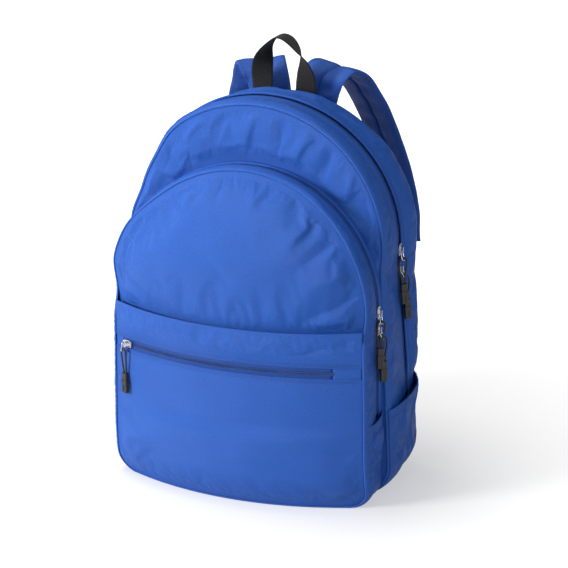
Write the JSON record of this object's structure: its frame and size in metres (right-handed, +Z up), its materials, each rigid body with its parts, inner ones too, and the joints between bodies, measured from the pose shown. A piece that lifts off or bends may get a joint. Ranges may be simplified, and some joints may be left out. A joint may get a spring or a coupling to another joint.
{
  "type": "school backpack",
  "caption": "Arched school backpack with a zipped main compartment, a bulging zipped front pocket, slip and side pockets, a grab handle and padded shoulder straps.",
  "frame": {"origin": "centre of the flat base that the bag stands on, midway between its front wall seams and its back seam", "axes": "+Z up; -Y towards the front pocket; +Y towards the wearer's back; +X to the right of someone looking at the front pocket"},
  "size_m": [0.3504, 0.29, 0.5128],
  "materials": {
    "shell_fabric": "woven 600 denier polyester, royal blue, slight sheen",
    "back_fabric": "woven polyester over foam, the same blue as the shell",
    "foam": "closed-cell foam covered by the fabric round it",
    "lining": "plain woven lining",
    "zip_tape": "woven zip tape",
    "zip_coil": "nylon coil",
    "webbing": "ribbed black webbing",
    "buckle": "fine-grained acetal",
    "slider_metal": "nickel-plated die casting",
    "ring_metal": "nickel-plated wire",
    "pull_cord": "braided black cord",
    "pull_grip": "moulded soft black plastic"
  },
  "bodies": {
    "bag": {"front_gusset": "shell_fabric", "rear_gusset": "shell_fabric", "base_gusset": "shell_fabric", "front_panel": "shell_fabric", "pocket_rear_gusset": "shell_fabric", "pocket_front_gusset": "shell_fabric", "pocket_base_gusset": "shell_fabric", "pocket_front_panel": "shell_fabric", "slip_panel_lower": "shell_fabric", "slip_panel_upper": "shell_fabric", "slip_fillers": "shell_fabric", "left_side_pocket": "shell_fabric", "right_side_pocket": "shell_fabric", "left_front_side_pocket": "shell_fabric", "right_front_side_pocket": "shell_fabric", "left_wing_tab": "shell_fabric", "right_wing_tab": "shell_fabric", "back_panel": "back_fabric", "back_foam": "foam", "front_pouch_lining": "lining", "main_zip_tapes": "zip_tape", "pocket_zip_tapes": "zip_tape", "front_zip_tapes": "zip_tape", "main_zip_coils": "zip_coil", "pocket_zip_coils": "zip_coil", "front_zip_coils": "zip_coil", "left_lower_webbing": "webbing", "right_lower_webbing": "webbing"},
    "main_upper_slider": {"main_upper_slider": "slider_metal"},
    "main_upper_pull": {"main_upper_pull_ring": "ring_metal", "main_upper_pull_cord": "pull_cord", "main_upper_pull_grip": "pull_grip"},
    "main_lower_slider": {"main_lower_slider": "slider_metal"},
    "main_lower_pull": {"main_lower_pull_ring": "ring_metal", "main_lower_pull_cord": "pull_cord", "main_lower_pull_grip": "pull_grip"},
    "pocket_upper_slider": {"pocket_upper_slider": "slider_metal"},
    "pocket_upper_pull": {"pocket_upper_pull_ring": "ring_metal", "pocket_upper_pull_cord": "pull_cord", "pocket_upper_pull_grip": "pull_grip"},
    "pocket_lower_slider": {"pocket_lower_slider": "slider_metal"},
    "pocket_lower_pull": {"pocket_lower_pull_ring": "ring_metal", "pocket_lower_pull_cord": "pull_cord", "pocket_lower_pull_grip": "pull_grip"},
    "front_slider": {"front_slider": "slider_metal"},
    "front_pull": {"front_pull_ring": "ring_metal", "front_pull_cord": "pull_cord", "front_pull_grip": "pull_grip"},
    "grab_handle": {"grab_handle": "webbing"},
    "right_strap": {"right_strap_foam": "foam", "right_strap_outer_fabric": "shell_fabric", "right_strap_inner_fabric": "back_fabric", "right_strap_loop": "webbing"},
    "right_lock": {"right_ladder_lock": "buckle"},
    "left_strap": {"left_strap_foam": "foam", "left_strap_outer_fabric": "shell_fabric", "left_strap_inner_fabric": "back_fabric", "left_strap_loop": "webbing"},
    "left_lock": {"left_ladder_lock": "buckle"}
  },
  "joints": [
    {"name": "main_upper_zip", "type": "hinge", "parent": "bag", "child": "main_upper_slider", "pos_m": [0, 0.02, 0.297], "axis": [0, -0.9962, -0.0872], "range_deg": [0, 186]},
    {"name": "main_upper_pull_swing", "type": "hinge", "parent": "main_upper_slider", "child": "main_upper_pull", "pos_m": [0.16014, 0.02119, 0.28345], "axis": [0, -0.9962, -0.0872], "range_deg": [0, 70]},
    {"name": "main_lower_zip", "type": "slide", "parent": "bag", "child": "main_lower_slider", "axis": [0.0523, 0.087, -0.9948], "range_m": [0, 0.08]},
    {"name": "main_lower_pull_swing", "type": "hinge", "parent": "main_lower_slider", "child": "main_lower_pull", "pos_m": [0.15999, 0.02323, 0.26003], "axis": [0, -0.9962, -0.0872], "range_deg": [0, 70]},
    {"name": "pocket_upper_zip", "type": "hinge", "parent": "bag", "child": "pocket_upper_slider", "pos_m": [0, -0.044, 0.231], "axis": [0, -1, 0], "range_deg": [0, 180]},
    {"name": "pocket_upper_pull_swing", "type": "hinge", "parent": "pocket_upper_slider", "child": "pocket_upper_pull", "pos_m": [0.15869, -0.044, 0.22805], "axis": [0, -1, 0], "range_deg": [0, 70]},
    {"name": "pocket_lower_zip", "type": "slide", "parent": "bag", "child": "pocket_lower_slider", "axis": [0.0175, 0, -0.9998], "range_m": [0, 0.038]},
    {"name": "pocket_lower_pull_swing", "type": "hinge", "parent": "pocket_lower_slider", "child": "pocket_lower_pull", "pos_m": [0.15865, -0.044, 0.20826], "axis": [0, -1, 0], "range_deg": [0, 70]},
    {"name": "front_zip", "type": "hinge", "parent": "bag", "child": "front_slider", "pos_m": [0, 0.2337, 0.17], "axis": [0, 0, 1], "range_deg": [0, 41]},
    {"name": "front_pull_swing", "type": "hinge", "parent": "front_slider", "child": "front_pull", "pos_m": [-0.13723, -0.09588, 0.17], "axis": [-0.9257, 0.3782, 0], "range_deg": [0, 30]},
    {"name": "grab_handle_flop", "type": "hinge", "parent": "bag", "child": "grab_handle", "pos_m": [0, 0.07, 0.451], "axis": [1, 0, 0], "range_deg": [-10, 70], "stiffness_Nm_per_rad": 0.02},
    {"name": "right_strap_swing", "type": "hinge", "parent": "bag", "child": "right_strap", "pos_m": [0.028, 0.086, 0.441], "axis": [1, 0, 0], "range_deg": [0, 15], "stiffness_Nm_per_rad": 0.6, "deforming": ["right_lower_webbing"]},
    {"name": "right_lock_tilt", "type": "hinge", "parent": "right_strap", "child": "right_lock", "pos_m": [0.11361, 0.14881, 0.22753], "axis": [0.9978, -0.0056, 0.0666], "range_deg": [0, 35], "stiffness_Nm_per_rad": 0.02, "deforming": ["right_lower_webbing", "right_strap_loop"]},
    {"name": "left_strap_swing", "type": "hinge", "parent": "bag", "child": "left_strap", "pos_m": [-0.028, 0.086, 0.441], "axis": [1, 0, 0], "range_deg": [0, 15], "stiffness_Nm_per_rad": 0.6, "deforming": ["left_lower_webbing"]},
    {"name": "left_lock_tilt", "type": "hinge", "parent": "left_strap", "child": "left_lock", "pos_m": [-0.11361, 0.14881, 0.22753], "axis": [0.9978, 0.0056, -0.0666], "range_deg": [0, 35], "stiffness_Nm_per_rad": 0.02, "deforming": ["left_lower_webbing", "left_strap_loop"]}
  ]
}
